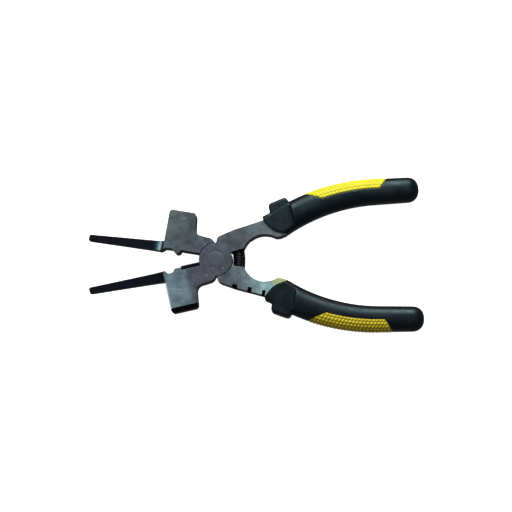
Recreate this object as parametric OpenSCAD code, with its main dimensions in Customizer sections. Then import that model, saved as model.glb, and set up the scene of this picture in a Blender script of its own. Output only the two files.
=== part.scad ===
// Multi-function welding pliers: two lap-jointed levers that share one forging shape,
// a rivet, a coil return spring and two-colour slip-on grips.
//
// The origin is on the pivot axis at the back face of the joint. +X runs towards the
// handles, +Z towards the front face. Each lever is drawn closed, with its inner edge on
// the X axis, its jaw on the -Y side and its handle on the +Y side. The front lever then
// turns by half the opening angle; the back lever is the same shape turned over.

/* [Joint] */
// Angle between the levers with the spring relaxed, degrees
open_angle = 22; // [16:1:22]
// Thickness of the forged levers
plate_t = 10; // [9:0.5:12]
// Radius of the round joint boss
boss_r = 10.4; // [9.8:0.1:10.4]
// Clearance round the boss in the other lever's recess
boss_gap = 0.3; // [0.3:0.1:0.5]
// Clearance between the two lap faces
lap_gap = 0.1; // [0.04:0.02:0.3]
// Radius of the rivet's shank
rivet_r = 4; // [3:0.1:5]
// Radial running clearance of the rivet in the back lever
rivet_gap = 0.05; // [0.02:0.01:0.1]

/* [Head] */
// Distance from the pivot to the jaw tips
jaw_reach = 81.2; // [60:0.5:95]
// Width of a jaw at its tip
jaw_tip_w = 4.2; // [3:0.1:5]
// Width of a jaw where it meets the hammer block
jaw_root_w = 6.4; // [5:0.1:8]
// Thickness of a jaw at its tip
jaw_tip_t = 3.8; // [3:0.1:5]
// Thickness of a jaw at its root
jaw_root_t = 6.4; // [5:0.1:8]
// Distance from the pivot to the hammer block's front face
hammer_x = 33.7; // [32.5:0.1:36]
// Width of the hammer block's striking face
hammer_w = 17.1; // [15:0.1:18]
// Distance from the inner edge to the striking face
hammer_h = 26.8; // [22:0.1:30]
// Height of the front lever's cutting edge over the inner edge
cutter_h = 1.25; // [0.6:0.05:1.4]

/* [Handle] */
// Radius of the round gripping hollow in each handle's inner edge
hollow_r = 13.8; // [13:0.1:14.5]
// Number of fine teeth at the start of the front lever's hollow
hollow_teeth = 7; // [3:1:9]
// Overall reach of a grip from the pivot, along X when closed
grip_reach = 133.1; // [128:0.5:138]
// Width of a grip in its front part
grip_w = 18.2; // [16.5:0.1:18.5]
// Width of a grip at its rear end
grip_end_w = 15.3; // [14.5:0.1:16.5]
// Thickness of a grip
grip_t = 16.6; // [16:0.1:18]
// Wall of the black outer sleeve
sleeve_wall = 2.5; // [2:0.1:2.6]
// Height of the yellow pad over the sleeve
pad_proud = 0.3; // [0.1:0.1:0.5]

/* [Spring] */
// Diameter of the spring wire
wire_d = 0.75; // [0.6:0.05:0.75]
// Outer diameter of the spring
spring_d = 7.6; // [7:0.1:7.7]
// Turns in the spring
spring_turns = 14; // [10:1:14]

/* [Hidden] */
$fn = 64;

mid_z = plate_t / 2;
half_open = open_angle / 2;
recess_r = boss_r + boss_gap;
far = 60;            // longer than any cut needs to be

// rivet heads, ground flush with the plate
head_r = rivet_r + 1.1;
head_t = 1.4;

// jaw side view: the faces sweep up to the full plate thickness at the hammer block
scoop_l = 6.6;
jaw_camber = 0.7;    // the tips stand this far over the inner edge, so they meet first
jaw_root_y = -0.1;   // the jaw's inner edge at its root
tip_round = 1.6;

// mouth, between the jaw root and the joint
notch_r = 3.1;       // hollow that grips a contact tip
bump_x = -24.5;
bump_r = 2.1;
bump_proud = 0.1;
cutter_x = -22.2;    // outer end of the cutting edges
cutter_z = 6.5;      // height of both cutting edges over the back face
bevel_y = 1.9;       // where the front lever's bevel starts on its front face
anvil_y = 2.2;       // how far the back lever's faces are cut back beside its edge

// neck and hammer block
neck_y = -12.9;
neck_fillet = 4;
corner = 1.3;
strike_chamfer = 2.8;
side_bevel = 0.9;

// spring seats
seat_y = 2.2;
spring_x = 15;
pocket_r = 3.9;
pocket_depth = 3;
seat_end_x = 18.4;

// handle hollow
hollow_x = 30.3;
hollow_y = seat_y + 6.7 - hollow_r;
tooth_r = 0.45;

// grip centre line: an arc of this radius about [grip_cx, grip_cy], then its tangent
bend_r = 115;
grip_cx = 86;
grip_cy = -93.15;
bend_start = -27;    // degrees from the arc's crest
bend_end = 9.5;
dome_l = 7.5;
section_power = 2.6; // 2 is an ellipse, higher is squarer
section_sides = 24;
body_rings = 9;
dome_rings = 5;

// tang and pad
tang_w = 8.4;
tang_t = 8;
tang_end = 13;       // degrees from the arc's crest
pad_offset = 1;      // from the centre line to the pad's long edge
pad_from = -6.3;
pad_to = 11.4;
core_end_gap = 3;

// edge where the sleeve meets the bare steel, from the outer side to the inner side
collar_edge = [[34.3, 17.6], [36.7, 13.2], [39.8, 9.7], [46.6, 5.7]];

// guard block on the outer side of a grip
guard_t = 13;
guard_round = 2.4;
lobe_round = 1.6;    // corner of the low shoulder between the guard and the collar edge

// ---- helpers ----

// extrude a YZ outline along X
module along_x(x0, x1) translate([x0, 0, 0]) rotate([90, 0, 90]) linear_extrude(x1 - x0) children();

// extrude an XZ outline along Y
module along_y(y0, y1) translate([0, y1, 0]) rotate([90, 0, 0]) linear_extrude(y1 - y0) children();

// turn a lever, or anything on it, over to the other side of the pliers
module turned_over() translate([0, 0, plate_t]) rotate([180, 0, 0]) children();

// place something drawn closed on the front or on the back lever at rest
module on_front() rotate([0, 0, half_open]) children();
module on_back() rotate([0, 0, -half_open]) turned_over() children();

function signed_pow(v, p) = sign(v) * pow(abs(v), p);

// faces of a closed tube of rings, each a loop of sides points, capped at both ends
function tube_faces(rings, sides) =
    concat([[for (k = [0:sides - 1]) k], [for (k = [sides - 1:-1:0]) sides * (rings - 1) + k]],
           [for (i = [0:rings - 2], k = [0:sides - 1])
               let (n = (k + 1) % sides)
               [sides * (i + 1) + k, sides * (i + 1) + n, sides * i + n, sides * i + k]]);

// ---- steel levers ----

module jaw_plan() {
    tip_x = -jaw_reach;
    difference() {
        polygon([[tip_x, jaw_camber], [tip_x, jaw_camber - jaw_tip_w],
                 [-hammer_x, -jaw_root_w], [-hammer_x, jaw_root_y]]);
        // round nose
        translate([tip_x, jaw_camber - jaw_tip_w / 2]) difference() {
            square([2 * tip_round, jaw_tip_w + 2], center = true);
            translate([tip_round, 0]) circle(r = jaw_tip_w / 2 + 0.05);
            translate([tip_round, -jaw_tip_w]) square([jaw_tip_w, 2 * jaw_tip_w]);
        }
    }
}

module jaw_side() {
    rise = (plate_t - jaw_root_t) / 2;
    scoop_r = (scoop_l * scoop_l + rise * rise) / (2 * rise);
    scoop_x = -hammer_x - scoop_l;
    difference() {
        polygon([[-jaw_reach, mid_z - jaw_tip_t / 2], [scoop_x, rise], [scoop_x, 0], [-hammer_x, 0],
                 [-hammer_x, plate_t], [scoop_x, plate_t], [scoop_x, plate_t - rise],
                 [-jaw_reach, mid_z + jaw_tip_t / 2]]);
        for (z = [plate_t - rise + scoop_r, rise - scoop_r])
            translate([scoop_x, z]) circle(r = scoop_r, $fn = 128);
    }
}

module jaw() {
    intersection() {
        translate([0, 0, -1]) linear_extrude(plate_t + 2) jaw_plan();
        along_y(-far, far) jaw_side();
    }
}

// hammer block and neck, with the fillet between them
module head_plan() {
    right_x = hammer_w - hammer_x;
    foot = -hammer_h;
    difference() {
        polygon([[-hammer_x, jaw_root_y], [-hammer_x + 1, 0], [0, 0], [-2.3, -10.4], [-3.9, -12], [-5.6, neck_y + 0.2],
                 [-8, neck_y], [right_x + 1 + neck_fillet, neck_y - 0.3],
                 [right_x + 1, neck_y - neck_fillet], [right_x, foot + corner], [right_x - corner, foot],
                 [-hammer_x + corner, foot], [-hammer_x, foot + corner]]);
        translate([right_x + 1.1 + neck_fillet, neck_y - 0.3 - neck_fillet]) circle(r = neck_fillet);
    }
}

module handle_plan() {
    difference() {
        polygon(concat([[0, seat_y], [0, 9], [2.7, 10.6], [3.9, 13.2], [5.5, 13.9], [15, 15.7], [30, 17.1]],
                       collar_edge, [[42.6, 5], [40.6, 5.1], [hollow_x, seat_y + 6.7], [seat_end_x, seat_y]]));
        translate([hollow_x, hollow_y]) circle(r = hollow_r);
    }
}

module tang_plan() {
    difference() {
        translate([grip_cx, grip_cy]) difference() {
            circle(r = bend_r + tang_w / 2, $fn = 256);
            circle(r = bend_r - tang_w / 2, $fn = 256);
            polygon([[0, 0], far * 4 * [sin(tang_end), cos(tang_end)], [far * 4, -far * 4],
                     [-far * 4, -far * 4], far * 4 * [sin(bend_start), cos(bend_start)]]);
        }
        steel_side();
    }
}

// everything on the steel's side of the collar edge
module steel_side() {
    polygon(concat([[0, far], [collar_edge[0][0] - 4, far]], collar_edge, [[collar_edge[3][0], -far], [0, -far]]));
}

// what lies above a cutting edge, whose two faces fall away to front_y and back_y; the boss stays
module over_cutter(edge_y, edge_z, front_y, back_y) {
    difference() {
        along_x(cutter_x, 0)
            polygon([[front_y, plate_t], [edge_y, edge_z], [back_y, 0], [back_y, -1], [far, -1],
                     [far, plate_t + 1], [front_y, plate_t + 1]]);
        translate([0, 0, -2]) cylinder(r = boss_r, h = plate_t + 4);
    }
}

// the front lever's mouth: a tip hollow, a flat for the bump, and the bevelled cutting edge
module blade_mouth() {
    difference() {
        union() {
            children();
            translate([cutter_x, -bevel_y, 0]) cube([-cutter_x, bevel_y + cutter_h, plate_t]);
        }
        translate([-29.2, 0.8, -1]) cylinder(r = notch_r, h = plate_t + 2);
        over_cutter(cutter_h, cutter_z, -bevel_y, 0.2);
    }
}

// the back lever's mouth: a long dip with the bump in it, and a low cutting edge
module anvil_mouth() {
    root = -hammer_x;
    difference() {
        children();
        translate([0, 0, -1]) linear_extrude(plate_t + 2)
            polygon([[root - 1.2, 1], [root - 1.2, 0.1], [root + 1.4, -2.1], [bump_x - 3.7, -2.3],
                     [bump_x - 1.5, bump_proud - 0.7], [bump_x - 1.5, -anvil_y], [cutter_x, -anvil_y],
                     [cutter_x, 1]]);
        over_cutter(-cutter_h, plate_t - cutter_z, -anvil_y, -anvil_y);
    }
    translate([bump_x, bump_proud - bump_r, 0]) cylinder(r = bump_r, h = plate_t);
}

module lever_blank() {
    jaw();
    linear_extrude(plate_t) {
        circle(r = boss_r);
        head_plan();
        handle_plan();
    }
    translate([0, 0, mid_z - tang_t / 2]) linear_extrude(tang_t) tang_plan();
}

// bevels that the forging has on its front face only
module front_bevels() {
    along_x(-hammer_x - 1, hammer_w - hammer_x + 1)
        polygon([[-hammer_h - 1, plate_t - strike_chamfer - 1], [-hammer_h + strike_chamfer + 1, plate_t + 1],
                 [-hammer_h - 1, plate_t + 1]]);
    along_y(-hammer_h - 1, -jaw_root_w - 0.6)
        polygon([[-hammer_x - 1, plate_t - side_bevel - 1], [-hammer_x + side_bevel + 1, plate_t + 1],
                 [-hammer_x - 1, plate_t + 1]]);
}

// three notches in the handle's outer edge, cut from the back face to half the thickness
module handle_notches() {
    sizes = [[14.6, 3.1, 2], [24, 2.4, 2.7], [33, 1.9, 3.1]];  // place, width, depth
    for (n = sizes)
        translate([n[0] - n[1] / 2, 15.7 + 0.1 * (n[0] - 15) - n[2], -1]) cube([n[1], n[2] + 2, mid_z + 1]);
}

module spring_pocket() {
    translate([spring_x, seat_y + pocket_depth, mid_z]) rotate([90, 0, 0])
        cylinder(r = pocket_r, h = pocket_depth + seat_y);
}

// bore and countersink through the boss, wider by gap
module rivet_hole(gap) {
    translate([0, 0, -1]) cylinder(r = rivet_r + gap, h = plate_t + 2);
    translate([0, 0, plate_t - head_t - gap]) cylinder(r1 = rivet_r + gap, r2 = head_r + gap, h = head_t);
    translate([0, 0, plate_t - gap]) cylinder(r = head_r + gap, h = 1);
}

module lever_cuts(gap) {
    translate([0, 0, -1]) cylinder(r = recess_r, h = mid_z + lap_gap / 2 + 1);
    front_bevels();
    handle_notches();
    spring_pocket();
    rivet_hole(gap);
}

module front_lever() {
    color("#5f6a72") on_front() difference() {
        blade_mouth() lever_blank();
        lever_cuts(0);
        for (i = [0:hollow_teeth - 1]) {
            a = 152 - 5 * i;
            translate([hollow_x, hollow_y, -1] + (hollow_r + 0.15) * [cos(a), sin(a), 0])
                cylinder(r = tooth_r, h = plate_t + 2, $fn = 16);
        }
    }
}

module back_lever() {
    color("#6f7c84") on_back() difference() {
        anvil_mouth() lever_blank();
        lever_cuts(rivet_gap);
    }
}

module pivot_rivet() {
    color("#7a838a") {
        cylinder(r = rivet_r, h = plate_t);
        translate([0, 0, plate_t - head_t]) cylinder(r1 = rivet_r, r2 = head_r, h = head_t);
        cylinder(r1 = head_r, r2 = rivet_r, h = head_t);
    }
}

// ---- return spring ----

// The two pockets face each other at the opening angle, so the spring's axis is the arc
// that runs square into both pocket floors.
spring_floor = seat_y + pocket_depth + spring_x * tan(half_open);
spring_arc_r = spring_floor / tan(half_open);
spring_arc_x = spring_x / cos(half_open) - spring_arc_r / cos(half_open);
spring_len = 2 * spring_arc_r * half_open * PI / 180;
coil_r = (spring_d - wire_d) / 2;
seat_play = 0.06;
closed_pitch = wire_d + 0.06;
open_pitch = (spring_len - wire_d - 2 * seat_play - 2 * closed_pitch) / (spring_turns - 2);
steps_per_turn = 14;
wire_sides = 6;

// distance along the axis after t turns; the first and last turns are closed
function coil_rise(t) =
    t < 1 ? closed_pitch * t
    : t > spring_turns - 1 ? closed_pitch * (2 - spring_turns + t) + open_pitch * (spring_turns - 2)
    : closed_pitch + open_pitch * (t - 1);

// a point at radius r from the axis, a turns round the coil and s along the axis
function coil_point(s, turn, r) =
    let (phi = (s / spring_len - 0.5) * open_angle, reach = spring_arc_r + r * cos(360 * turn))
    [spring_arc_x + reach * cos(phi), reach * sin(phi), mid_z + r * sin(360 * turn)];

module return_spring() {
    steps = spring_turns * steps_per_turn;
    wire = [for (i = [0:steps], k = [0:wire_sides - 1])
        let (t = i / steps_per_turn, a = 360 * k / wire_sides,
             s = seat_play + wire_d / 2 + coil_rise(t) + wire_d / 2 * sin(a))
        coil_point(s, t, coil_r + wire_d / 2 * cos(a))];
    color("#202226") polyhedron(wire, tube_faces(steps + 1, wire_sides));
}

// ---- grips ----

bend_len = bend_r * (bend_end - bend_start) * PI / 180;
end_dir = [cos(bend_end), -sin(bend_end)];
bend_exit = [grip_cx, grip_cy] + bend_r * [sin(bend_end), cos(bend_end)];
straight_len = (grip_reach - bend_exit[0]) / end_dir[0];
axis_len = bend_len + straight_len;

function axis_angle(s) = min(bend_end, bend_start + s / bend_r * 180 / PI);
function axis_point(s) =
    s < bend_len ? [grip_cx, grip_cy] + bend_r * [sin(axis_angle(s)), cos(axis_angle(s))]
    : bend_exit + (s - bend_len) * end_dir;
function half_width(s) = grip_w / 2 + (grip_end_w - grip_w) / 2 * s / axis_len;

// one ring of the grip's skin at s along its axis, moved in by inset, shrunk by k
function grip_ring(s, inset, k) =
    let (c = axis_point(s), a = axis_angle(s))
    [for (i = [0:section_sides - 1])
        let (t = 360 * i / section_sides,
             u = k * (half_width(s) - inset) * signed_pow(cos(t), 2 / section_power),
             v = k * (grip_t / 2 - inset) * signed_pow(sin(t), 2 / section_power))
        [c[0] + u * sin(a), c[1] + u * cos(a), mid_z + v]];

// the whole grip as one closed skin, moved in by inset
module grip_form(inset) {
    body_end = axis_len - dome_l;
    dome = dome_l - inset;
    body = [for (i = [0:body_rings]) grip_ring(body_end * i / body_rings, inset, 1)];
    cap = [for (i = [1:dome_rings])
        let (q = min(0.985, sin(90 * i / dome_rings)))
        grip_ring(body_end + dome * q, inset, pow(1 - pow(q, 2.3), 1 / 2.3))];
    rings = concat(body, cap);
    polyhedron([for (ring = rings) each ring], tube_faces(len(rings), section_sides));
}

// the part of the grip that the yellow pad covers
module pad_zone() {
    edge = bend_r + pad_offset;
    translate([0, 0, -far]) linear_extrude(2 * far) translate([grip_cx, grip_cy])
        polygon(concat([[-26.4, edge + 7.5]], [for (a = [pad_from:2.95:pad_to]) edge * [sin(a), cos(a)]],
                       [[31.4, edge + 7.2], [31.4, edge + far], [-26.4, edge + far]]));
}

module guard_plan() {
    ends = [[41.6, 22.9], [41.6, 24.6], [49.5, 26]];
    for (p = ends) translate(p) circle(r = guard_round, $fn = 32);
    polygon([[39.2, 16], [39.2, 24.6], [41.2, 26.95], [49.1, 28.35], [51.8, 26.4], [52.9, 18]]);
    translate([35.3, 18.4]) circle(r = lobe_round, $fn = 32);
    polygon([[34.1, 16], [34.9, 19.95], [39.3, 21], [40, 16]]);
}

// what lies behind the far end of a grip's core
module behind_core() {
    translate([axis_point(axis_len)[0] - dome_l - core_end_gap, -far, -far]) cube(2 * far);
}

module grip_core() {
    difference() {
        union() {
            difference() {
                grip_form(sleeve_wall);
                behind_core();
            }
            intersection() {
                grip_form(-pad_proud);
                pad_zone();
            }
        }
        translate([0, 0, mid_z - tang_t / 2]) linear_extrude(tang_t) tang_plan();
        translate([0, 0, -far]) linear_extrude(2 * far) steel_side();
    }
}

module grip_sleeve() {
    difference() {
        union() {
            grip_form(0);
            translate([0, 0, mid_z - guard_t / 2]) linear_extrude(guard_t) guard_plan();
        }
        difference() {
            grip_form(sleeve_wall);
            behind_core();
        }
        pad_zone();
        translate([0, 0, -far]) linear_extrude(2 * far) steel_side();
    }
}

module upper_grip_core() color("#e8c818") on_front() grip_core();
module upper_grip_sleeve() color("#1b1f22") on_front() grip_sleeve();
module lower_grip_core() color("#e8c818") on_back() grip_core();
module lower_grip_sleeve() color("#1b1f22") on_back() grip_sleeve();

front_lever();
back_lever();
pivot_rivet();
return_spring();
upper_grip_core();
upper_grip_sleeve();
lower_grip_core();
lower_grip_sleeve();
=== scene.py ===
"""Look model of multi-function welding pliers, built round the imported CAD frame.

Shapes are drawn in millimetres in the closed position of a lever, with its inner edge on
the X axis and its handle on the +Y side, and are then placed on the front or back lever.
"""
import math

import bmesh
import bpy
from mathutils import Matrix, Vector


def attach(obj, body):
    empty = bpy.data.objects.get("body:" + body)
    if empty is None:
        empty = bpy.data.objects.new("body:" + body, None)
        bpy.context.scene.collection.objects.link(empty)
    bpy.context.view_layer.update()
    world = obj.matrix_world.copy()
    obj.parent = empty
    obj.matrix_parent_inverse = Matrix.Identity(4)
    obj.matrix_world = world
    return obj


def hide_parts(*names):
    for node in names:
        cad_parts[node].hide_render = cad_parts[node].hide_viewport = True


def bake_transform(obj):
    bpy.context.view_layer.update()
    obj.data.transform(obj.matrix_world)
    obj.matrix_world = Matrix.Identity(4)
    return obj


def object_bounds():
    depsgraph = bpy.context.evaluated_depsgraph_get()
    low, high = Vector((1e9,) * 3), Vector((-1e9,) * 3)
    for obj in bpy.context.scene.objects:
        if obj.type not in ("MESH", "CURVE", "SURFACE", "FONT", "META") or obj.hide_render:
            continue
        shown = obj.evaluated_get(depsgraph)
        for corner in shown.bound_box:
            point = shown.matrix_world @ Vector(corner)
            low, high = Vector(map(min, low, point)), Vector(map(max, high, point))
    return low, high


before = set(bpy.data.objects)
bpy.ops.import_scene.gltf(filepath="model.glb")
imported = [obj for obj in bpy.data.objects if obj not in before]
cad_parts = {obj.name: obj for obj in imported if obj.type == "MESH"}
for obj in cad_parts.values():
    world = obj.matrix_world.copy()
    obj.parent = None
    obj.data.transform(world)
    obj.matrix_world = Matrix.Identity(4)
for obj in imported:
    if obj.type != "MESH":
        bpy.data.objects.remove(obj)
cad_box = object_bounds()

MM = 0.001
PLATE_T = 10.0
MID_Z = PLATE_T / 2
HALF_OPEN = math.radians(11)

# the jaw's faces sweep up to the plate faces between these places along a lever
SCOOP_FROM = -40.3
HAMMER_FRONT = -33.7

# grip centre line: an arc of this radius about this centre, then its tangent
BEND_R = 115.0
GRIP_CENTRE = (86.0, -93.15)
BEND_START = math.radians(-27)
BEND_END = math.radians(9.5)
GRIP_REACH = 133.0
GRIP_W = 18.2
GRIP_END_W = 15.3
GRIP_T = 16.6
DOME_L = 7.5
SECTION_POWER = 2.6

# flat-faced band between the collar edge and the guard's rear side
BAND_END = 52.6
BAND_HALF_T = 6.6

# edge of the rubber beside the steel, from the outer side to the inner side
COLLAR_EDGE = [(34.3, 17.6), (36.7, 13.2), (39.8, 9.7), (46.6, 5.7)]

# guard and shoulder: half their thickness, and how far their rims are broken
BLOCK_HALF_T = 6.5
BLOCK_BREAK = 0.9

# beyond every side of a grip, for cutting shapes
CUT_LOW = -20.0
CUT_HIGH = 30.0
CUT_OUT = 40.0

# yellow pad
PAD_OFFSET = 1.0
PAD_LEFT = ((-12.73, 115.3), (-26.4, 123.5))
PAD_RIGHT = ((22.93, 113.71), (31.4, 123.2))
BEAD_PITCH = 2.2
BEAD_H = 0.42
PAD_SKIN = 0.15
PAD_FLOOR = 1.4
PAD_ROUND = 29
PAD_LEN = 48

# return spring
WIRE_R = 0.5
COIL_R = 3.35
TURNS = 14
SPRING_FLOOR = 8.05
SPRING_X = 13.73
SPRING_BOW = 0.77


# ---- placing ----

def on_front():
    """Placing matrix of a shape on the front lever."""
    return Matrix.Scale(MM, 4) @ Matrix.Rotation(HALF_OPEN, 4, "Z")


def on_back():
    """Placing matrix of a shape on the back lever, which is the same forging turned over."""
    over = Matrix.Translation((0, 0, PLATE_T)) @ Matrix.Rotation(math.pi, 4, "X")
    return Matrix.Scale(MM, 4) @ Matrix.Rotation(-HALF_OPEN, 4, "Z") @ over


def new_object(name, mesh):
    """An object of this mesh in the scene, shaded smooth."""
    mesh.polygons.foreach_set("use_smooth", [True] * len(mesh.polygons))
    obj = bpy.data.objects.new(name, mesh)
    bpy.context.scene.collection.objects.link(obj)
    return obj


def mesh_of(name, points, faces):
    """A mesh with consistent outward faces."""
    mesh = bpy.data.meshes.new(name)
    mesh.from_pydata(points, [], faces)
    bm = bmesh.new()
    bm.from_mesh(mesh)
    bmesh.ops.recalc_face_normals(bm, faces=bm.faces)
    bm.to_mesh(mesh)
    bm.free()
    return mesh


def finish_piece(obj, body, slot, node, *materials):
    """Give a piece its materials and its body, and hide the CAD node it stands for."""
    for material in materials:
        obj.data.materials.append(material)
    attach(obj, body)
    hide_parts(node)


# ---- materials ----

def srgb(red, green, blue):
    """A screen colour of 0 to 255 as linear values with alpha."""
    def linear(v):
        v /= 255
        return v / 12.92 if v <= 0.04045 else ((v + 0.055) / 1.055) ** 2.4
    return (linear(red), linear(green), linear(blue), 1.0)


class Shader:
    """Short calls for one node material, with its coordinates in millimetres."""

    def __init__(self, name, **values):
        self.material = bpy.data.materials.new(name)
        self.material.use_nodes = True
        self.tree = self.material.node_tree
        self.bsdf = self.tree.nodes["Principled BSDF"]
        for socket, value in values.items():
            self.bsdf.inputs[socket.replace("_", " ")].default_value = value
        coords = self.tree.nodes.new("ShaderNodeTexCoord")
        self.place = self.scaled(coords.outputs["Object"], (1 / MM,) * 3)

    def link(self, value, socket):
        """Set a socket from another socket or from a plain value."""
        if isinstance(value, bpy.types.NodeSocket):
            self.tree.links.new(value, socket)
        else:
            socket.default_value = value

    def scaled(self, vector, scale, turn=0.0):
        node = self.tree.nodes.new("ShaderNodeMapping")
        node.inputs["Scale"].default_value = scale
        node.inputs["Rotation"].default_value = (0, 0, turn)
        self.link(vector, node.inputs["Vector"])
        return node.outputs["Vector"]

    def noise(self, scale, detail=3.0, rough=0.55, vector=None):
        node = self.tree.nodes.new("ShaderNodeTexNoise")
        self.link(vector or self.place, node.inputs["Vector"])
        node.inputs["Scale"].default_value = scale
        node.inputs["Detail"].default_value = detail
        node.inputs["Roughness"].default_value = rough
        return node.outputs["Fac"]

    def cells(self, scale):
        node = self.tree.nodes.new("ShaderNodeTexVoronoi")
        self.link(self.place, node.inputs["Vector"])
        node.inputs["Scale"].default_value = scale
        return node.outputs["Distance"]

    def attribute(self, name):
        """A value stored with the mesh's points."""
        node = self.tree.nodes.new("ShaderNodeAttribute")
        node.attribute_name = name
        return node.outputs["Fac"]

    def math(self, operation, a, b=0.0):
        node = self.tree.nodes.new("ShaderNodeMath")
        node.operation = operation
        self.link(a, node.inputs[0])
        self.link(b, node.inputs[1])
        return node.outputs[0]

    def remap(self, value, low, high, to_low=0.0, to_high=1.0):
        """Smooth change from to_low to to_high as value goes from low to high."""
        node = self.tree.nodes.new("ShaderNodeMapRange")
        node.interpolation_type = "SMOOTHSTEP"
        for socket, number in zip(("Value", "From Min", "From Max", "To Min", "To Max"),
                                  (value, low, high, to_low, to_high)):
            self.link(number, node.inputs[socket])
        return node.outputs["Result"]

    def along(self, x, y, z=0.0):
        """Distance along a direction, in millimetres."""
        node = self.tree.nodes.new("ShaderNodeVectorMath")
        node.operation = "DOT_PRODUCT"
        self.link(self.place, node.inputs[0])
        node.inputs[1].default_value = (x, y, z)
        return node.outputs["Value"]

    def ramp(self, value, stops):
        """Colour from (place, colour) stops, where value has the stops' own unit."""
        low, high = stops[0][0], stops[-1][0]
        node = self.tree.nodes.new("ShaderNodeValToRGB")
        scaled = self.math("DIVIDE", self.math("SUBTRACT", value, low), high - low)
        self.link(scaled, node.inputs["Fac"])
        marks = node.color_ramp.elements
        while len(marks) < len(stops):
            marks.new(0.5)
        for mark, (place, colour) in zip(marks, stops):
            mark.position = (place - low) / (high - low)
            mark.color = colour
        return node.outputs["Color"]

    def mix(self, amount, first, second, blend="MIX"):
        node = self.tree.nodes.new("ShaderNodeMix")
        node.data_type = "RGBA"
        node.blend_type = blend
        self.link(amount, node.inputs["Factor"])
        first_colour, second_colour = node.inputs[6], node.inputs[7]
        self.link(first, first_colour)
        self.link(second, second_colour)
        return node.outputs[2]

    def bump(self, height, strength, distance, under=None):
        node = self.tree.nodes.new("ShaderNodeBump")
        node.inputs["Strength"].default_value = strength
        node.inputs["Distance"].default_value = distance * MM
        self.link(height, node.inputs["Height"])
        if under is not None:
            self.link(under, node.inputs["Normal"])
        return node.outputs["Normal"]

    def set(self, socket, value):
        self.link(value, self.bsdf.inputs[socket])


# how much brighter the ground steel is than the tones it shows under the soft light
GROUND_LIFT = 1.32


def ground_steel(name, stops, slant_y=0.0, extra=None):
    """Surface-ground lever faces: fine grinding marks, dull blotches and bright specks over a ramp of
    painted light and shade along the lever.
    """
    s = Shader(name, Metallic=0.9)
    grain_at = s.scaled(s.place, (0.35, 5.0, 0.6), math.radians(62))
    grain = s.noise(1.0, 4.0, 0.6, grain_at)
    fine = s.noise(2.6, 4.0, 0.7)
    blotch = s.noise(0.16, 4.0, 0.6)
    # painted light and shade: base tones from the stops, lighter and darker along the lever as light falls
    # on its faces
    colour = s.ramp(s.along(1, slant_y), stops)
    if extra is not None:
        colour = extra(s, colour)
    shade = s.math("ADD", s.remap(blotch, 0.3, 0.7, 0.93, 1.05), s.remap(grain, 0.2, 0.8, -0.07, 0.07))
    shade = s.math("ADD", shade, s.remap(fine, 0.25, 0.75, -0.12, 0.12))
    colour = s.mix(1.0, colour, s.math("MULTIPLY", shade, GROUND_LIFT), "MULTIPLY")
    specks = s.remap(s.cells(0.4), 0.1, 0.22, 1.0, 0.0)
    patches = s.remap(s.noise(0.22, 2.0), 0.5, 0.64, 0.0, 0.7)
    colour = s.mix(s.math("MULTIPLY", specks, patches), colour, srgb(190, 200, 206))
    s.set("Base Color", colour)
    s.set("Roughness", s.remap(blotch, 0.3, 0.7, 0.36, 0.52))
    s.set("Normal", s.bump(fine, 0.25, 0.05, s.bump(grain, 0.35, 0.04)))
    return s.material


def lower_hammer_marks(s, colour):
    """A pale scribed line across the left part of the hammer block."""
    wobble = s.math("MULTIPLY", s.noise(0.3), 0.3)
    off_line = s.math("ABSOLUTE", s.math("SUBTRACT", s.along(0.04, 1), s.math("ADD", wobble, -19.1)))
    scribe = s.remap(off_line, 0.08, 0.3, 0.55, 0.0)
    left_part = s.remap(s.along(1, 0), -17.0, -16.0, 1.0, 0.0)
    line = s.math("MULTIPLY", scribe, left_part)
    return s.mix(line, colour, srgb(150, 172, 182))


def lower_handle_tint(s, colour):
    """Warm straw tint on the lower handle beside the lower collar."""
    return s.mix(s.remap(s.along(1, 0.7), 23.4, 25.2), colour, srgb(168, 178, 130))


def black_oxide():
    """Oil-blacked forged surface with scale and rubbed spots."""
    s = Shader("black_oxide", Specular_IOR_Level=0.13)
    scale = s.noise(0.9, 5.0, 0.65)
    fine = s.noise(5.0, 3.0)
    wear = s.remap(s.noise(0.35, 5.0, 0.7), 0.6, 0.78)
    colour = s.ramp(scale, [(0.3, srgb(5, 7, 15)), (0.7, srgb(13, 18, 30))])
    s.set("Base Color", s.mix(wear, colour, srgb(28, 34, 46)))
    s.set("Roughness", s.remap(scale, 0.3, 0.7, 0.3, 0.48))
    s.set("Normal", s.bump(fine, 0.3, 0.03, s.bump(scale, 0.3, 0.12)))
    return s.material


def scoop_painted_highlight():
    """Oil-blacked scoop with a painted bluish-white highlight where it rises to the hammer block, black
    again at its root.
    """
    s = Shader("scoop_painted_highlight", Specular_IOR_Level=0.15)
    wobble = s.math("MULTIPLY", s.math("SUBTRACT", s.noise(0.8), 0.5), 0.8)
    place = s.along(math.cos(HALF_OPEN), -math.sin(HALF_OPEN))
    # painted highlight: a bluish-white band just before the hammer block, where the scoop catches the key
    # light
    stops = [(-6.6, srgb(10, 14, 24)), (-5.2, srgb(18, 34, 50)), (-3.7, srgb(66, 104, 121)),
             (-2.2, srgb(156, 190, 198)), (-1.3, srgb(128, 144, 158)), (-0.9, srgb(8, 12, 18)),
             (0.0, srgb(5, 7, 12))]
    from_hammer = s.math("SUBTRACT", s.math("ADD", place, wobble), HAMMER_FRONT)
    s.set("Base Color", s.ramp(from_hammer, stops))
    s.set("Roughness", s.remap(s.noise(2.6, 4.0), 0.3, 0.7, 0.3, 0.5))
    s.set("Normal", s.bump(s.noise(3.0, 4.0), 0.25, 0.04))
    return s.material


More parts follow.
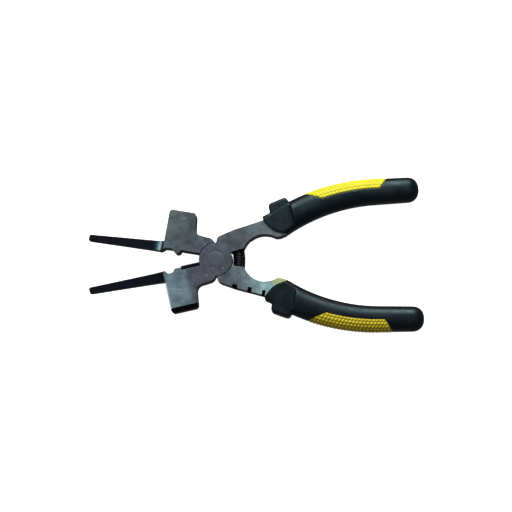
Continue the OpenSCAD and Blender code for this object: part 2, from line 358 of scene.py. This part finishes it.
def bevel_painted_highlight():
    """Narrow ground bevel, coloured near white as a painted highlight of the light it catches."""
    s = Shader("bevel_painted_highlight", Metallic=0.2)
    grain = s.noise(1.0, 4.0, 0.6, s.scaled(s.place, (6.0, 0.5, 6.0)))
    # painted highlight: near-white diffuse colour in place of the bevel's reflection
    s.set("Base Color", s.ramp(grain, [(0.25, srgb(216, 226, 228)), (0.75, srgb(244, 250, 250))]))
    s.set("Roughness", s.remap(grain, 0.3, 0.7, 0.28, 0.42))
    s.set("Normal", s.bump(grain, 0.3, 0.03))
    return s.material


def rivet_steel():
    """Rivet head faced off flush, with faint turned rings."""
    s = Shader("rivet_steel", Metallic=0.9)
    length = s.tree.nodes.new("ShaderNodeVectorMath")
    length.operation = "LENGTH"
    flat = s.scaled(s.place, (1, 1, 0))
    s.link(flat, length.inputs[0])
    rings = s.math("SINE", s.math("MULTIPLY", length.outputs["Value"], 14.0))
    fine = s.noise(2.4, 4.0, 0.7)
    s.set("Base Color", s.ramp(fine, [(0.3, srgb(88, 93, 104)), (0.7, srgb(109, 114, 125))]))
    s.set("Roughness", s.remap(fine, 0.3, 0.7, 0.36, 0.5))
    s.set("Normal", s.bump(fine, 0.25, 0.05, s.bump(rings, 0.2, 0.02)))
    return s.material


def spring_steel():
    """Black tempered wire with drawing lines."""
    s = Shader("spring_steel", Metallic=0.7)
    streak = s.noise(1.6, 4.0, 0.6)
    s.set("Base Color", s.ramp(streak, [(0.3, srgb(12, 14, 19)), (0.7, srgb(32, 35, 42))]))
    s.set("Roughness", s.remap(streak, 0.3, 0.7, 0.28, 0.42))
    s.set("Normal", s.bump(s.noise(6.0), 0.2, 0.02))
    return s.material


def grip_rubber():
    """Black moulded grip with a fine matt grain, dust in the grain and rubbed high spots."""
    s = Shader("grip_rubber", Specular_IOR_Level=0.4, Specular_Tint=(0.6, 0.92, 1.0, 1.0))
    grain = s.noise(2.8, 3.0, 0.6)
    pores = s.cells(2.2)
    soft = s.noise(0.12, 4.0, 0.6)
    colour = s.ramp(soft, [(0.3, srgb(8, 8, 15)), (0.7, srgb(12, 13, 22))])
    dust = s.remap(s.noise(0.7, 6.0, 0.75), 0.58, 0.75)
    s.set("Base Color", s.mix(s.math("MULTIPLY", dust, 0.3), colour, srgb(30, 40, 48)))
    s.set("Roughness", s.remap(soft, 0.3, 0.7, 0.34, 0.5))
    s.set("Normal", s.bump(pores, 0.25, 0.04, s.bump(grain, 0.3, 0.05)))
    return s.material


def grip_yellow(name, painted_shade):
    """Yellow moulded pad; the second argument sets how much painted shade darkens it between its beads and
    towards the grip's outer side.
    """
    s = Shader(name, Specular_IOR_Level=0.4, Subsurface_Weight=0.08)
    soft = s.noise(0.14, 4.0, 0.6)
    grime = s.remap(s.noise(0.55, 6.0, 0.75), 0.55, 0.8)
    colour = s.ramp(soft, [(0.3, srgb(240, 226, 24)), (0.7, srgb(253, 243, 46))])
    # painted shade: browner towards the grip's outer side and darker in the hollows between the beads,
    # where light falls less
    outward = s.remap(s.attribute("outward"), 0.15, 0.95)
    colour = s.mix(s.math("MULTIPLY", outward, 0.6 * painted_shade), colour, srgb(212, 116, 26))
    valley_painted_shade = s.remap(s.attribute("relief"), 0.1, 0.85, 1.0, 0.0)
    colour = s.mix(s.math("MULTIPLY", valley_painted_shade, painted_shade), colour, srgb(160, 88, 12))
    s.set("Base Color", s.mix(s.math("MULTIPLY", grime, 0.3), colour, srgb(170, 128, 26)))
    s.set("Roughness", s.remap(soft, 0.3, 0.7, 0.36, 0.5))
    s.set("Normal", s.bump(s.noise(3.0), 0.2, 0.03))
    return s.material


def floor_paper():
    """Plain pale floor."""
    s = Shader("floor_paper", Roughness=0.9, Emission_Strength=1.0)
    fibre = s.noise(0.03, 4.0)
    s.set("Base Color", s.ramp(fibre, [(0.3, (0.86, 0.87, 0.87, 1)), (0.7, (0.9, 0.9, 0.9, 1))]))
    s.set("Emission Color", (1, 1, 1, 1))
    return s.material


# ---- levers ----

GROUND, BLACK, BRIGHT, SCOOP = range(4)


def surface_kind(face, placing):
    """Which finish a face of a lever has."""
    centre = face.calc_center_median()
    level = centre.z / MM
    if abs(face.normal.z) > 0.99 and min(abs(level), abs(level - PLATE_T)) < 0.05:
        return GROUND
    hammer_side = (placing.to_3x3() @ Vector((-1, 0, 0))).normalized()
    slope = face.normal.dot(hammer_side)
    if 0.6 < slope < 0.8 and 0.6 < abs(face.normal.z) < 0.8 and abs(level - MID_Z) > 3.5:
        return BRIGHT
    along = (placing.inverted() @ centre).x
    if SCOOP_FROM < along < HAMMER_FRONT and level > MID_Z and face.normal.z > 0.5:
        return SCOOP
    return BLACK


def lever(node, body, placing, ground, scoop):
    """A forged lever: the CAD solid with rounded edges and its finishes set face by face."""
    bm = bmesh.new()
    bm.from_mesh(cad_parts[node].data)
    bmesh.ops.remove_doubles(bm, verts=bm.verts, dist=0.002 * MM)
    for across in ((1, 0, 0), (0, 0, 1)):
        parts = bm.verts[:] + bm.edges[:] + bm.faces[:]
        cut = bmesh.ops.bisect_plane(bm, geom=parts, plane_co=(0, 0, MID_Z * MM), plane_no=across)
        for part in cut["geom_cut"]:
            if isinstance(part, bmesh.types.BMEdge):
                part.seam = True
    bmesh.ops.remove_doubles(bm, verts=bm.verts, dist=0.02 * MM)
    bmesh.ops.dissolve_limit(bm, angle_limit=math.radians(0.6), verts=bm.verts, edges=bm.edges,
                             use_dissolve_boundaries=False, delimit={"NORMAL", "SEAM"})
    bmesh.ops.dissolve_degenerate(bm, dist=0.12 * MM, edges=bm.edges)
    for face in bm.faces:
        face.material_index = surface_kind(face, placing)
    weight = bm.edges.layers.float.new("bevel_weight_edge")
    for edge in bm.edges:
        edge.seam = False
        if edge.is_manifold and edge.calc_face_angle() > math.radians(28):
            edge.smooth = False
            fine = min(e.calc_length() for v in edge.verts for e in v.link_edges) < 0.3 * MM
            bore = max(math.hypot(v.co.x, v.co.y) for v in edge.verts) < 6 * MM
            nose = min(v.co.x for v in edge.verts) < cad_box[0].x + 0.3 * MM
            weight_here = 0.35 if fine else 1.0
            edge[weight] = 0.0 if bore or nose else weight_here
    mesh = bpy.data.meshes.new(node)
    bm.to_mesh(mesh)
    bm.free()
    obj = new_object(node + "_steel", mesh)
    bevel = obj.modifiers.new("edge_rounding", "BEVEL")
    bevel.limit_method = "WEIGHT"
    bevel.width = 0.2 * MM
    bevel.segments = 2
    bevel.use_clamp_overlap = False
    bevel.harden_normals = True
    finish_piece(obj, body, "lever_steel", node, ground, MATERIALS["black"], MATERIALS["bright"], scoop)


# ---- rivet ----

def rivet():
    """Flush riveted pin turned from a profile with softly broken edges."""
    half = [(0.0, 0.01), (3.0, 0.01), (4.9, 0.0), (5.02, 0.02), (5.07, 0.07), (4.0, 1.4)]
    profile = half + [(r, PLATE_T - z) for r, z in reversed(half)]
    sides = 96
    points = []
    for r, z in profile[1:-1]:
        for k in range(sides):
            a = 2 * math.pi * k / sides
            points.append((r * math.cos(a), r * math.sin(a), z))
    rows = len(profile) - 2
    faces = []
    for i in range(rows - 1):
        for k in range(sides):
            n = (k + 1) % sides
            faces.append((i * sides + k, i * sides + n, (i + 1) * sides + n, (i + 1) * sides + k))
    for row, z in ((0, half[0][1]), (rows - 1, PLATE_T - half[0][1])):
        points.append((0, 0, z))
        for k in range(sides):
            faces.append((len(points) - 1, row * sides + k, row * sides + (k + 1) % sides))
    mesh = mesh_of("rivet", points, faces)
    mesh.transform(Matrix.Scale(MM, 4))
    obj = new_object("rivet_head_and_shank", mesh)
    mesh.set_sharp_from_angle(angle=math.radians(35))
    finish_piece(obj, "front_half", "rivet_steel", "pivot_rivet", MATERIALS["rivet"])


# ---- return spring ----

def spring_point(turn, tilt):
    """Point on the wire's skin: turn counts along the coil, tilt goes round the wire."""
    closed_pitch = 2.2 * WIRE_R
    pitch = (2 * SPRING_FLOOR - 2 * WIRE_R - 2 * closed_pitch) / (TURNS - 2)
    closed = min(turn, 1) + max(0, turn - TURNS + 1)
    rise = closed * closed_pitch + (turn - closed) * pitch
    y = rise - SPRING_FLOOR + WIRE_R + WIRE_R * math.sin(tilt)
    bow = SPRING_BOW * (1 - (y / SPRING_FLOOR) ** 2)
    lean = math.atan(-2 * SPRING_BOW * y / SPRING_FLOOR ** 2)
    reach = COIL_R + WIRE_R * math.cos(tilt)
    side = reach * math.cos(2 * math.pi * turn)
    up = reach * math.sin(2 * math.pi * turn)
    return (SPRING_X + bow + side * math.cos(lean), y - side * math.sin(lean), MID_Z + up)


def spring():
    """Coil return spring between the two levers."""
    steps, sides = TURNS * 24, 10
    points = []
    for i in range(steps + 1):
        for k in range(sides):
            points.append(spring_point(TURNS * i / steps, 2 * math.pi * k / sides))
    faces = [tuple(range(sides)), tuple(range(steps * sides, steps * sides + sides))]
    for i in range(steps):
        for k in range(sides):
            n = (k + 1) % sides
            faces.append((i * sides + k, i * sides + n, (i + 1) * sides + n, (i + 1) * sides + k))
    mesh = mesh_of("spring", points, faces)
    mesh.transform(Matrix.Scale(MM, 4))
    obj = new_object("coil_spring", mesh)
    mesh.materials.append(MATERIALS["spring"])
    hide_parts("return_spring")
    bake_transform(obj)


# ---- grips ----

BEND_LEN = BEND_R * (BEND_END - BEND_START)
BEND_EXIT = (GRIP_CENTRE[0] + BEND_R * math.sin(BEND_END), GRIP_CENTRE[1] + BEND_R * math.cos(BEND_END))
AXIS_LEN = BEND_LEN + (GRIP_REACH - BEND_EXIT[0]) / math.cos(BEND_END)


def grip_axis(s):
    """Point on the grip's centre line and its angle, s millimetres from the collar."""
    if s < BEND_LEN:
        a = BEND_START + s / BEND_R
        return GRIP_CENTRE[0] + BEND_R * math.sin(a), GRIP_CENTRE[1] + BEND_R * math.cos(a), a
    past = s - BEND_LEN
    return BEND_EXIT[0] + past * math.cos(BEND_END), BEND_EXIT[1] - past * math.sin(BEND_END), BEND_END


def signed_pow(v, p):
    return math.copysign(abs(v) ** p, v)


def skin_point(s, t, inset=0.0, shrink=1.0):
    """Point on the grip's skin, t radians round its section from the outer side."""
    x, y, a = grip_axis(s)
    wide = GRIP_W / 2 + (GRIP_END_W - GRIP_W) / 2 * s / AXIS_LEN
    u = shrink * (wide - inset) * signed_pow(math.cos(t), 2 / SECTION_POWER)
    v = shrink * (GRIP_T / 2 - inset) * signed_pow(math.sin(t), 2 / SECTION_POWER)
    return (x + u * math.sin(a), y + u * math.cos(a), MID_Z + v)


def grip_body():
    """The whole grip as a closed solid with a domed end."""
    sides, rings, domes = 96, 140, 18
    body_end = AXIS_LEN - DOME_L
    points = []
    for i in range(rings + 1):
        points += [skin_point(body_end * i / rings, 2 * math.pi * k / sides) for k in range(sides)]
    for i in range(1, domes + 1):
        q = min(0.999, math.sin(math.pi / 2 * i / domes))
        shrink = (1 - q ** 2.3) ** (1 / 2.3)
        s = body_end + DOME_L * q
        points += [skin_point(s, 2 * math.pi * k / sides, 0, shrink) for k in range(sides)]
    rows = rings + domes
    faces = [tuple(range(sides)), tuple(range(rows * sides, rows * sides + sides))]
    for i in range(rows):
        for k in range(sides):
            n = (k + 1) % sides
            faces.append((i * sides + k, i * sides + n, (i + 1) * sides + n, (i + 1) * sides + k))
    return mesh_of("grip_body", points, faces)


def slant(u, ends):
    """Where a pad's slanted end crosses the line u millimetres out from the centre line."""
    (x0, y0), (x1, y1) = ends

    def side(s):
        x, y, a = grip_axis(s)
        px, py = x + u * math.sin(a) - GRIP_CENTRE[0], y + u * math.cos(a) - GRIP_CENTRE[1]
        return (px - x0) * (y1 - y0) - (py - y0) * (x1 - x0)

    low, high = 0.0, AXIS_LEN
    for _ in range(40):
        mid = (low + high) / 2
        if side(low) * side(mid) <= 0:
            high = mid
        else:
            low = mid
    return low


def smooth(v):
    v = max(0.0, min(1.0, v))
    return v * v * (3 - 2 * v)


def bead(s, p):
    """Height of the moulded beads, from 0 to 1."""
    row = math.floor(p / BEAD_PITCH)
    across = p / BEAD_PITCH - row - 0.5
    along = s / BEAD_PITCH
    along -= math.floor(along) + 0.5
    d = math.hypot(across, along) / 0.46
    return max(0.0, 1 - d * d) ** 0.7


def pad_section(count):
    """Equally spaced steps round the pad's section: (t, distance round from its middle)."""
    wide = GRIP_W / 2 - 0.5
    edge = math.acos((PAD_OFFSET / wide) ** (SECTION_POWER / 2))
    fine = [(2 * i / 2000 - 1) * edge for i in range(2001)]
    lengths = [0.0]
    for t0, t1 in zip(fine, fine[1:]):
        a, b = skin_point(50, t0), skin_point(50, t1)
        lengths.append(lengths[-1] + math.dist(a, b))
    steps, at = [], 0
    for j in range(count + 1):
        want = lengths[-1] * j / count
        while at < 1999 and lengths[at + 1] < want:
            at += 1
        steps.append((fine[at], want - lengths[-1] / 2))
    return steps


def pad_solid(grow, outer, inner, beaded, cell):
    """The pad between two skins: grow widens its outline, outer and inner are insets."""
    section = pad_section(round(PAD_ROUND / cell))
    half = section[-1][1]
    count = round(PAD_LEN / cell)
    wide = GRIP_W / 2 - 0.5
    tops, floors, relief, outward = [], [], [], []
    for t, p in section:
        u = wide * signed_pow(math.cos(t), 2 / SECTION_POWER)
        s0, s1 = slant(u, PAD_LEFT) - grow, slant(u, PAD_RIGHT) + grow
        spread = t * (1 + grow / half)
        for i in range(count + 1):
            s = s0 + (s1 - s0) * i / count
            rise = height = 0.0
            if beaded:
                rim = min(s - s0, s1 - s, (half - abs(p)) * 1.2)
                height = bead(s * (1 + u / BEND_R), p) * smooth((rim - 0.25) / 0.5)
                rise = BEAD_H * height - 0.25 * (1 - smooth(rim / 0.45))
            relief.append(height)
            outward.append(1 - abs(p) / half)
            tops.append(skin_point(s, spread, outer - rise))
            floors.append(skin_point(s, spread, inner))
    points = tops + floors
    row = count + 1
    rows = len(section)
    under = rows * row
    faces = []
    for j in range(rows - 1):
        for i in range(count):
            a, b = j * row + i, (j + 1) * row + i
            faces.append((a, a + 1, b + 1, b))
            faces.append((under + a, under + b, under + b + 1, under + a + 1))
    rim = list(range(count)) + [j * row + count for j in range(rows - 1)]
    rim += [(rows - 1) * row + i for i in range(count, 0, -1)] + [j * row for j in range(rows - 1, 0, -1)]
    for a, b in zip(rim, rim[1:] + rim[:1]):
        faces.append((a, under + a, under + b, b))
    mesh = mesh_of("pad", points, faces)
    for name, values in (("relief", relief), ("outward", outward)):
        mesh.attributes.new(name, "FLOAT", "POINT").data.foreach_set("value", values * 2)
    return mesh


def prism(outline, low, high):
    """A closed prism from an outline in the XY plane."""
    n = len(outline)
    points = [(x, y, low) for x, y in outline] + [(x, y, high) for x, y in outline]
    faces = [tuple(range(n)), tuple(range(n, 2 * n))]
    faces += [(i, (i + 1) % n, n + (i + 1) % n, n + i) for i in range(n)]
    return mesh_of("prism", points, faces)


def curve_through(points, steps=8):
    """Smooth curve through the points, its ends running straight."""
    ring = [points[0]] + list(points) + [points[-1]]
    out = []

    def at(a, b, c, d, t):
        square = (2 * a - 5 * b + 4 * c - d) * t * t
        cube = (3 * b - a - 3 * c + d) * t ** 3
        return 0.5 * (2 * b + (c - a) * t + square + cube)

    for corners in zip(ring, ring[1:], ring[2:], ring[3:]):
        for k in range(steps):
            out.append(tuple(at(*values, k / steps) for values in zip(*corners)))
    return out + [points[-1]]


def block(corners, foot, centre):
    """A flat block on the grip's outer side: rounded corners, broken edges, its foot in the grip.

    Each corner is its centre, its radius and the angles that its rounding runs between.
    """
    outline = [foot[0]]
    for cx, cy, radius, start, end in corners:
        for k in range(7):
            a = math.radians(start + (end - start) * k / 6)
            outline.append((cx + radius * math.cos(a), cy + radius * math.sin(a)))
    outline.append(foot[1])
    shoulder_z = BLOCK_HALF_T - BLOCK_BREAK
    layers = [(BLOCK_HALF_T, BLOCK_BREAK), (shoulder_z, 0.0),
              (-shoulder_z, 0.0), (-BLOCK_HALF_T, BLOCK_BREAK)]
    points = []
    for z, inset in layers:
        for x, y in outline:
            far = math.dist((x, y), centre)
            k = (far - inset) / far
            points.append((centre[0] + (x - centre[0]) * k, centre[1] + (y - centre[1]) * k, MID_Z + z))
    n = len(outline)
    faces = [tuple(range(n)), tuple(range(3 * n, 4 * n))]
    for i in range(len(layers) - 1):
        for k in range(n):
            m = (k + 1) % n
            faces.append((i * n + k, i * n + m, (i + 1) * n + m, (i + 1) * n + k))
    return mesh_of("block", points, faces)


def guard():
    """Finger guard beside the collar."""
    corners = [(41.6, 24.6, 2.4, 180, 101), (49.5, 26.0, 2.4, 101, 10)]
    return block(corners, [(39.2, 16.0), (52.9, 18.0)], (46, 20.5))


def shoulder():
    """Low shoulder between the guard and the collar edge."""
    corners = [(35.3, 18.4, 1.6, 190, 105), (39.3, 19.4, 1.6, 105, 90)]
    return block(corners, [(34.6, 14.0), (42.0, 16.0)], (38, 16))


def evaluated(obj):
    """The object's mesh with its modifiers applied."""
    graph = bpy.context.evaluated_depsgraph_get()
    return bpy.data.meshes.new_from_object(obj.evaluated_get(graph))


def with_cuts(mesh, operations):
    """The mesh after boolean operations, each (operation, other mesh)."""
    base = new_object("work", mesh)
    helpers = []
    for operation, other in operations:
        helper = new_object("helper", other)
        helpers.append(helper)
        modifier = base.modifiers.new("cut", "BOOLEAN")
        modifier.operation = operation
        modifier.object = helper
        modifier.solver = "EXACT"
    result = evaluated(base)
    for helper in helpers + [base]:
        bpy.data.objects.remove(helper)
    return result


def remeshed(mesh, cell):
    """The mesh rebuilt on an even grid, which rounds every edge a little, then smoothed."""
    base = new_object("work", mesh)
    voxel = base.modifiers.new("even", "REMESH")
    voxel.mode = "VOXEL"
    voxel.voxel_size = cell
    voxel.adaptivity = 0
    relax = base.modifiers.new("relax", "SMOOTH")
    relax.factor = 0.5
    relax.iterations = 3
    result = evaluated(base)
    bpy.data.objects.remove(base)
    return result


def sleeve_mesh():
    """Black outer moulding: body, guard and shoulder, with band, collar edge and pad seat cut in."""
    outer_side = [(20.0, CUT_OUT), (30.9, CUT_OUT), (34.0, 20.0)]
    inner_side = [(COLLAR_EDGE[-1][0], CUT_LOW), (20.0, CUT_LOW)]
    steel_side = prism(outer_side + curve_through(COLLAR_EDGE) + inner_side, CUT_LOW, CUT_HIGH)
    seat = pad_solid(0.12, -3.0, 1.5, False, 1.0)
    band = [(20.0, CUT_LOW), (BAND_END, CUT_LOW), (BAND_END, CUT_OUT), (20.0, CUT_OUT)]
    over_band = prism(band, MID_Z + BAND_HALF_T, CUT_HIGH)
    under_band = prism(band, CUT_LOW, MID_Z - BAND_HALF_T)
    solid = with_cuts(grip_body(), [("UNION", guard()), ("UNION", shoulder()),
                                    ("DIFFERENCE", over_band), ("DIFFERENCE", under_band),
                                    ("DIFFERENCE", seat), ("DIFFERENCE", steel_side)])
    return remeshed(solid, 0.4)


def grips():
    """Both grips: the same sleeve and pad on each lever."""
    sleeve = sleeve_mesh()
    pad = pad_solid(0.0, PAD_SKIN, PAD_FLOOR, True, 0.22)
    for name, body, placing in (("upper", "front_half", on_front()), ("lower", "back_half", on_back())):
        for part, mesh, slot, material in (("sleeve", sleeve, "grip_black", "rubber"),
                                           ("core", pad, "grip_yellow", name + "_yellow")):
            shape = mesh.copy()
            shape.transform(placing)
            shape.materials.clear()
            obj = new_object(f"{name}_grip_{part}_moulding", shape)
            finish_piece(obj, body, slot, f"{name}_grip_{part}", MATERIALS[material])


# ---- studio ----

def floor():
    """Large plain floor under the pliers."""
    half, low = 3.0, cad_box[0].z - 0.0005
    corners = [(-half, -half, low), (half, -half, low), (half, half, low), (-half, half, low)]
    mesh = mesh_of("floor", corners, [(0, 1, 2, 3)])
    obj = new_object("floor", mesh)
    mesh.materials.append(floor_paper())
    # the pale floor must not light the pliers' dark sides from below
    obj.visible_diffuse = False
    obj.visible_glossy = False


def area_light(name, place, aim, size, power, colour):
    """A square soft light that looks at aim."""
    data = bpy.data.lights.new(name, "AREA")
    data.size = size
    data.energy = power
    data.color = colour
    obj = bpy.data.objects.new(name, data)
    bpy.context.scene.collection.objects.link(obj)
    obj.location = place
    obj.rotation_euler = (Vector(aim) - Vector(place)).to_track_quat("-Z", "Y").to_euler()


def studio():
    """Even white surroundings, with the main light from the far side."""
    world = bpy.data.worlds.new("studio")
    bpy.context.scene.world = world
    world.use_nodes = True
    background = world.node_tree.nodes["Background"]
    background.inputs["Color"].default_value = (0.95, 0.98, 1.0, 1)
    background.inputs["Strength"].default_value = 0.13
    middle = (0.03, 0.0, 0.0)
    area_light("key", (0.05, 0.75, 0.65), middle, 0.6, 11.0, (1.0, 1.0, 1.0))
    area_light("fill", (-0.6, -0.3, 0.7), middle, 0.6, 0.7, (0.9, 0.97, 1.0))
    bpy.context.scene.view_settings.view_transform = "Standard"


def camera():
    """Looks down on the front face, from a little towards the lower handle and the grips."""
    lean, turn_right, roll, away = math.radians(9.2), math.radians(3), math.radians(1.9), 0.9
    aim = Vector((25.2, 1.2, PLATE_T)) * MM
    data = bpy.data.cameras.new("camera")
    data.sensor_width = 36
    data.lens = 36 * away / 0.3174
    data.clip_start, data.clip_end = 0.01, 20
    obj = bpy.data.objects.new("camera", data)
    bpy.context.scene.collection.objects.link(obj)
    turn = Matrix.Rotation(-roll, 4, "Z") @ Matrix.Rotation(lean, 4, "X")
    turn = turn @ Matrix.Rotation(turn_right, 4, "Y")
    obj.matrix_world = Matrix.Translation(aim) @ turn @ Matrix.Translation((0, 0, away))
    bpy.context.scene.camera = obj


# painted light and shade: ground-face tones lighter and darker along each lever as light falls across it;
# the two levers get different ramps for the same steel
FRONT_PAINTED_LIGHT_TONES = [(-40, srgb(117, 139, 149)), (-23, srgb(107, 128, 137)), (-19.8, srgb(84, 95, 103)),
               (-14, srgb(84, 85, 94)), (4, srgb(86, 90, 99)), (18, srgb(85, 91, 97)),
               (33, srgb(96, 108, 110)), (49, srgb(102, 114, 114))]
BACK_PAINTED_LIGHT_TONES = [(-34, srgb(88, 105, 109)), (-24, srgb(88, 97, 102)), (-16, srgb(80, 87, 93)),
              (-9, srgb(86, 94, 101)), (2, srgb(86, 90, 99)), (11, srgb(96, 106, 113)),
              (19, srgb(113, 130, 136)), (28, srgb(154, 188, 192)), (42, srgb(164, 200, 202))]

# across the lower hammer block the painted lit part ends on a slanted line
FRONT_SLANT = 0.28

MATERIALS = {
    "black": black_oxide(),
    "bright": bevel_painted_highlight(),
    "rivet": rivet_steel(),
    "spring": spring_steel(),
    "rubber": grip_rubber(),
    "scoop": scoop_painted_highlight(),
    # lit and shaded copies: the lower pad's copy carries much more painted shade than the upper pad's, as
    # it faces away from the key light
    "upper_yellow": grip_yellow("upper_grip_yellow", 0.06),
    "lower_yellow": grip_yellow("lower_grip_yellow", 0.65),
}

camera()
studio()
floor()
lever("front_lever", "front_half", on_front(),
      ground_steel("front_ground_steel", FRONT_PAINTED_LIGHT_TONES, FRONT_SLANT, lower_hammer_marks), MATERIALS["black"])
lever("back_lever", "back_half", on_back(),
      ground_steel("back_ground_steel", BACK_PAINTED_LIGHT_TONES, 0.0, lower_handle_tint), MATERIALS["scoop"])
rivet()
spring()
grips()
